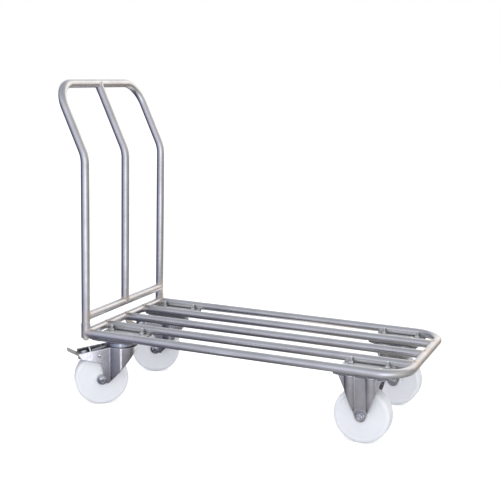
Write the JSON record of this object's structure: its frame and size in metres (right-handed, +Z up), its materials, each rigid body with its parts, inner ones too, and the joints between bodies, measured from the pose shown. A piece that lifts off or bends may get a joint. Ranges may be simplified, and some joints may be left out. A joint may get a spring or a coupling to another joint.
{
  "type": "handling trolley",
  "caption": "Flat handling trolley: a tube platform with rounded front corners, a kinked hoop handle, fixed front wheels and braked swivel rear wheels.",
  "frame": {"origin": "on the floor under the middle of the deck", "axes": "+X to the front, away from the handle; +Y to the left side; +Z up"},
  "size_m": [1.097, 0.5364, 0.964],
  "materials": {
    "stainless_tube": "satin stainless tube",
    "stainless_sheet": "satin pressed stainless sheet",
    "mounting_plate": "satin stainless plate",
    "fasteners": "bright stainless",
    "race_ring": "satin, bluish",
    "spring_steel": "satin",
    "lever_steel": "satin",
    "shoe_steel": "dark satin",
    "nylon_wheel": "natural white nylon, slightly translucent",
    "bearing_plastic": "dark bearing plastic",
    "cap_plastic": "light grey moulded plug"
  },
  "bodies": {
    "frame": {"deck_outer_tube": "stainless_tube", "deck_rear_cross_tube": "stainless_tube", "deck_inner_tube_right": "stainless_tube", "deck_inner_tube_middle": "stainless_tube", "deck_inner_tube_left": "stainless_tube", "corner_sleeves": "stainless_tube", "handle_hoop": "stainless_tube", "handle_middle_upright": "stainless_tube", "handle_crossbar": "stainless_tube", "foot_caps": "cap_plastic", "mounting_plate_front_right": "mounting_plate", "mounting_plate_front_left": "mounting_plate", "mounting_plate_rear_right": "mounting_plate", "mounting_plate_rear_left": "mounting_plate", "castor_bolts": "fasteners", "castor_washers": "fasteners", "castor_nuts": "fasteners", "front_right_bracket": "stainless_sheet", "front_right_spacer": "fasteners", "front_right_axle_bolt": "fasteners", "front_right_axle_nut": "fasteners", "front_left_bracket": "stainless_sheet", "front_left_spacer": "fasteners", "front_left_axle_bolt": "fasteners", "front_left_axle_nut": "fasteners", "rear_right_top_plate": "stainless_sheet", "rear_right_king_pin": "fasteners", "rear_right_balls": "fasteners", "rear_right_dust_ring": "race_ring", "rear_left_top_plate": "stainless_sheet", "rear_left_king_pin": "fasteners", "rear_left_balls": "fasteners", "rear_left_dust_ring": "race_ring"},
    "front_right_wheel_set": {"front_right_wheel": "nylon_wheel", "front_right_bush": "bearing_plastic"},
    "front_left_wheel_set": {"front_left_wheel": "nylon_wheel", "front_left_bush": "bearing_plastic"},
    "rear_right_fork_set": {"rear_right_fork": "stainless_sheet", "rear_right_arm_stay": "fasteners", "rear_right_leaf_spring": "spring_steel", "rear_right_rivets": "fasteners", "rear_right_spacer": "fasteners", "rear_right_axle_bolt": "fasteners", "rear_right_axle_nut": "fasteners"},
    "rear_right_wheel_set": {"rear_right_wheel": "nylon_wheel", "rear_right_bush": "bearing_plastic"},
    "rear_right_brake": {"rear_right_brake_lever": "lever_steel", "rear_right_brake_shoe": "shoe_steel"},
    "rear_left_fork_set": {"rear_left_fork": "stainless_sheet", "rear_left_arm_stay": "fasteners", "rear_left_leaf_spring": "spring_steel", "rear_left_rivets": "fasteners", "rear_left_spacer": "fasteners", "rear_left_axle_bolt": "fasteners", "rear_left_axle_nut": "fasteners"},
    "rear_left_wheel_set": {"rear_left_wheel": "nylon_wheel", "rear_left_bush": "bearing_plastic"},
    "rear_left_brake": {"rear_left_brake_lever": "lever_steel", "rear_left_brake_shoe": "shoe_steel"}
  },
  "joints": [
    {"name": "front_right_wheel_turn", "type": "hinge", "parent": "frame", "child": "front_right_wheel_set", "pos_m": [0.3625, -0.17813, 0.08], "axis": [0, 1, 0], "continuous": true},
    {"name": "front_left_wheel_turn", "type": "hinge", "parent": "frame", "child": "front_left_wheel_set", "pos_m": [0.3625, 0.17813, 0.08], "axis": [0, 1, 0], "continuous": true},
    {"name": "rear_right_swivel", "type": "hinge", "parent": "frame", "child": "rear_right_fork_set", "pos_m": [-0.4025, -0.17813, 0.18], "axis": [0, 0, 1], "continuous": true},
    {"name": "rear_right_wheel_turn", "type": "hinge", "parent": "rear_right_fork_set", "child": "rear_right_wheel_set", "pos_m": [-0.44942, -0.21222, 0.08], "axis": [-0.5878, 0.809, 0], "continuous": true},
    {"name": "rear_right_brake_press", "type": "hinge", "parent": "rear_right_fork_set", "child": "rear_right_brake", "pos_m": [-0.45589, -0.21692, 0.154], "axis": [0.5878, -0.809, 0], "range_deg": [0, 9]},
    {"name": "rear_left_swivel", "type": "hinge", "parent": "frame", "child": "rear_left_fork_set", "pos_m": [-0.4025, 0.17813, 0.18], "axis": [0, 0, 1], "continuous": true},
    {"name": "rear_left_wheel_turn", "type": "hinge", "parent": "rear_left_fork_set", "child": "rear_left_wheel_set", "pos_m": [-0.45628, 0.1564, 0.08], "axis": [-0.3746, 0.9272, 0], "continuous": true},
    {"name": "rear_left_brake_press", "type": "hinge", "parent": "rear_left_fork_set", "child": "rear_left_brake", "pos_m": [-0.46369, 0.1534, 0.154], "axis": [0.3746, -0.9272, 0], "range_deg": [0, 9]}
  ]
}
